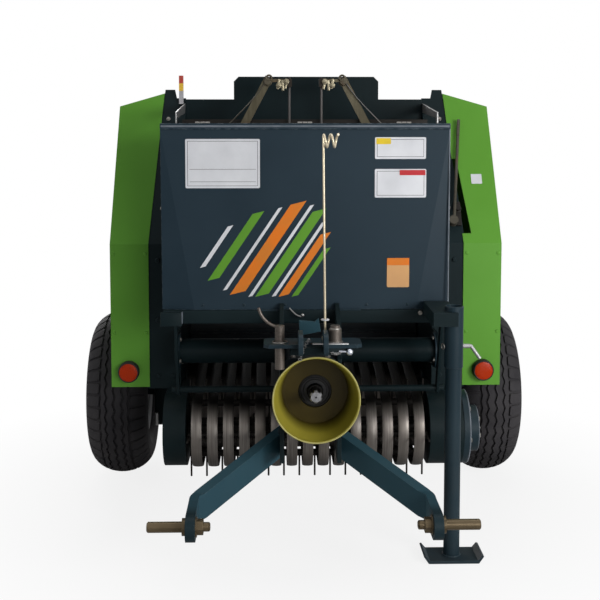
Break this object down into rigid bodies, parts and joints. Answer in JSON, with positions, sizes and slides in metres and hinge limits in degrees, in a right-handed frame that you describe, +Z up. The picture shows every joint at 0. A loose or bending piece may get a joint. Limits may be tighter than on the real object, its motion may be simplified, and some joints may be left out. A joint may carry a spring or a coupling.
{
  "type": "round baler",
  "caption": "Small three-point-hitch round baler with a roller chamber, tined pickup, lifting tailgate, parking jack and two implement wheels.",
  "frame": {"origin": "centre of the footprint on the ground", "axes": "+X to the right seen from the tractor, +Y to the rear, +Z up"},
  "size_m": [1.464, 1.5269, 1.381],
  "materials": {
    "body_paint": "dark blue-grey paint, half gloss",
    "green_paint": "green paint, half gloss",
    "box_paint": "dark slate paint, half gloss",
    "zinc": "yellow zinc plate",
    "bare_steel": "bare worn steel",
    "roller_steel": "dark paint worn by hay",
    "guard_plastic": "olive yellow plastic",
    "lamp_plastic": "orange-red reflector",
    "tyre_rubber": "matt black tyre rubber",
    "rim_paint": "silver grey paint",
    "chrome_rod": "hard chrome",
    "iron_grey": "dark cast housing",
    "marker": "red, yellow and grey bands"
  },
  "bodies": {
    "frame": {"side_plate_left": "body_paint", "side_plate_right": "body_paint", "front_beam": "body_paint", "cross_tube": "body_paint", "press_bar": "body_paint", "axle_beam": "body_paint", "top_plate": "body_paint", "mast": "body_paint", "gearbox": "iron_grey", "pto_guard": "guard_plastic", "lower_arm_left": "body_paint", "lower_arm_right": "body_paint", "hitch_pins": "zinc", "hitch_head": "body_paint", "head_pins": "zinc", "front_cover": "box_paint", "side_cover_left": "green_paint", "side_cover_right": "green_paint", "lamps": "lamp_plastic", "pickup_bands": "bare_steel", "pickup_shields": "body_paint", "cam_housing": "iron_grey", "jack_sleeve": "body_paint", "jack_lock_pin": "bare_steel", "twine_rail": "bare_steel", "box_stays": "bare_steel", "hose_holder": "zinc", "level_indicator": "marker", "valve_lever": "bare_steel"},
    "pto_shaft": {"pto_shaft": "bare_steel"},
    "pickup_reel": {"pickup_reel": "body_paint"},
    "tailgate": {"tailgate_side_left": "body_paint", "tailgate_side_right": "body_paint", "tailgate_ties": "body_paint", "tailgate_chain_guard": "body_paint"},
    "wheel_left": {"tyre_left": "tyre_rubber", "rim_left": "rim_paint"},
    "wheel_right": {"tyre_right": "tyre_rubber", "rim_right": "rim_paint"},
    "cylinder_left": {"cylinder_left": "body_paint"},
    "cylinder_right": {"cylinder_right": "body_paint"},
    "rod_left": {"rod_left": "chrome_rod"},
    "rod_right": {"rod_right": "chrome_rod"},
    "jack_leg": {"jack_leg": "body_paint"},
    "twine_arm_left": {"twine_arm_left": "bare_steel"},
    "twine_arm_right": {"twine_arm_right": "bare_steel"},
    "roller_1": {"roller_1": "roller_steel"},
    "roller_2": {"roller_2": "roller_steel"},
    "roller_3": {"roller_3": "roller_steel"},
    "roller_4": {"roller_4": "roller_steel"},
    "roller_5": {"roller_5": "roller_steel"},
    "roller_6": {"roller_6": "roller_steel"},
    "roller_7": {"roller_7": "roller_steel"},
    "roller_8": {"roller_8": "roller_steel"},
    "roller_9": {"roller_9": "roller_steel"}
  },
  "joints": [
    {"name": "pickup_spin", "type": "hinge", "parent": "frame", "child": "pickup_reel", "pos_m": [0, -0.1245, 0.268], "axis": [1, 0, 0], "continuous": true},
    {"name": "pto_spin", "type": "hinge", "parent": "frame", "child": "pto_shaft", "pos_m": [0.011, -0.5475, 0.475], "axis": [0, 1, 0], "continuous": true},
    {"name": "roller_1_spin", "type": "hinge", "parent": "frame", "child": "roller_1", "pos_m": [0, 0.1865, 1.08406], "axis": [1, 0, 0], "continuous": true},
    {"name": "roller_2_spin", "type": "hinge", "parent": "frame", "child": "roller_2", "pos_m": [0, 0.05086, 0.93341], "axis": [1, 0, 0], "continuous": true},
    {"name": "roller_3_spin", "type": "hinge", "parent": "frame", "child": "roller_3", "pos_m": [0, 0.02967, 0.73181], "axis": [1, 0, 0], "continuous": true},
    {"name": "roller_4_spin", "type": "hinge", "parent": "frame", "child": "roller_4", "pos_m": [0, 0.31622, 0.4738], "axis": [1, 0, 0], "continuous": true},
    {"name": "roller_5_spin", "type": "hinge", "parent": "tailgate", "child": "roller_5", "pos_m": [0, 0.5145, 0.51594], "axis": [1, 0, 0], "continuous": true},
    {"name": "roller_6_spin", "type": "hinge", "parent": "tailgate", "child": "roller_6", "pos_m": [0, 0.65014, 0.66659], "axis": [1, 0, 0], "continuous": true},
    {"name": "roller_7_spin", "type": "hinge", "parent": "tailgate", "child": "roller_7", "pos_m": [0, 0.67133, 0.8682], "axis": [1, 0, 0], "continuous": true},
    {"name": "roller_8_spin", "type": "hinge", "parent": "tailgate", "child": "roller_8", "pos_m": [0, 0.56998, 1.04375], "axis": [1, 0, 0], "continuous": true},
    {"name": "roller_9_spin", "type": "hinge", "parent": "tailgate", "child": "roller_9", "pos_m": [0, 0.38478, 1.1262], "axis": [1, 0, 0], "continuous": true},
    {"name": "tailgate_hinge", "type": "hinge", "parent": "frame", "child": "tailgate", "pos_m": [0, 0.2505, 1.262], "axis": [1, 0, 0], "range_deg": [0, 55]},
    {"name": "cylinder_left_tilt", "type": "hinge", "parent": "frame", "child": "cylinder_left", "pos_m": [-0.45, 0.1305, 0.69], "axis": [1, 0, 0], "range_deg": [-1, 9.39]},
    {"name": "rod_left_slide", "type": "slide", "parent": "cylinder_left", "child": "rod_left", "axis": [0, 0.5628, 0.8266], "range_m": [-0.004, 0.1967]},
    {"name": "cylinder_right_tilt", "type": "hinge", "parent": "frame", "child": "cylinder_right", "pos_m": [0.45, 0.1305, 0.69], "axis": [1, 0, 0], "range_deg": [-1, 9.39]},
    {"name": "rod_right_slide", "type": "slide", "parent": "cylinder_right", "child": "rod_right", "axis": [0, 0.5628, 0.8266], "range_m": [-0.004, 0.1967]},
    {"name": "wheel_left_spin", "type": "hinge", "parent": "frame", "child": "wheel_left", "pos_m": [-0.6295, 0.3105, 0.281], "axis": [1, 0, 0], "continuous": true},
    {"name": "wheel_right_spin", "type": "hinge", "parent": "frame", "child": "wheel_right", "pos_m": [0.6295, 0.3105, 0.281], "axis": [1, 0, 0], "continuous": true},
    {"name": "jack_slide", "type": "slide", "parent": "frame", "child": "jack_leg", "axis": [0, 0, 1], "range_m": [0, 0.3]},
    {"name": "twine_arm_left_swing", "type": "hinge", "parent": "frame", "child": "twine_arm_left", "pos_m": [-0.207, 0.0605, 1.2], "axis": [0, -1, 0], "range_deg": [0, 70]},
    {"name": "twine_arm_right_swing", "type": "hinge", "parent": "frame", "child": "twine_arm_right", "pos_m": [0.207, 0.0605, 1.2], "axis": [0, 1, 0], "range_deg": [0, 70]}
  ],
  "couplings": [
    {"joint": "pto_spin", "follows": "pickup_spin", "ratio": -4},
    {"joint": "roller_1_spin", "follows": "pickup_spin", "ratio": -1.6},
    {"joint": "roller_2_spin", "follows": "pickup_spin", "ratio": -1.6},
    {"joint": "roller_3_spin", "follows": "pickup_spin", "ratio": -1.6},
    {"joint": "roller_4_spin", "follows": "pickup_spin", "ratio": -1.6},
    {"joint": "roller_5_spin", "follows": "pickup_spin", "ratio": -1.6},
    {"joint": "roller_6_spin", "follows": "pickup_spin", "ratio": -1.6},
    {"joint": "roller_7_spin", "follows": "pickup_spin", "ratio": -1.6},
    {"joint": "roller_8_spin", "follows": "pickup_spin", "ratio": -1.6},
    {"joint": "roller_9_spin", "follows": "pickup_spin", "ratio": -1.6},
    {"joint": "cylinder_left_tilt", "follows": "tailgate_hinge", "ratio": 0.14345},
    {"joint": "rod_left_slide", "follows": "tailgate_hinge", "m_per_rad": 0.19867},
    {"joint": "cylinder_right_tilt", "follows": "tailgate_hinge", "ratio": 0.14345},
    {"joint": "rod_right_slide", "follows": "tailgate_hinge", "m_per_rad": 0.19867},
    {"joint": "twine_arm_right_swing", "follows": "twine_arm_left_swing", "ratio": 1}
  ]
}
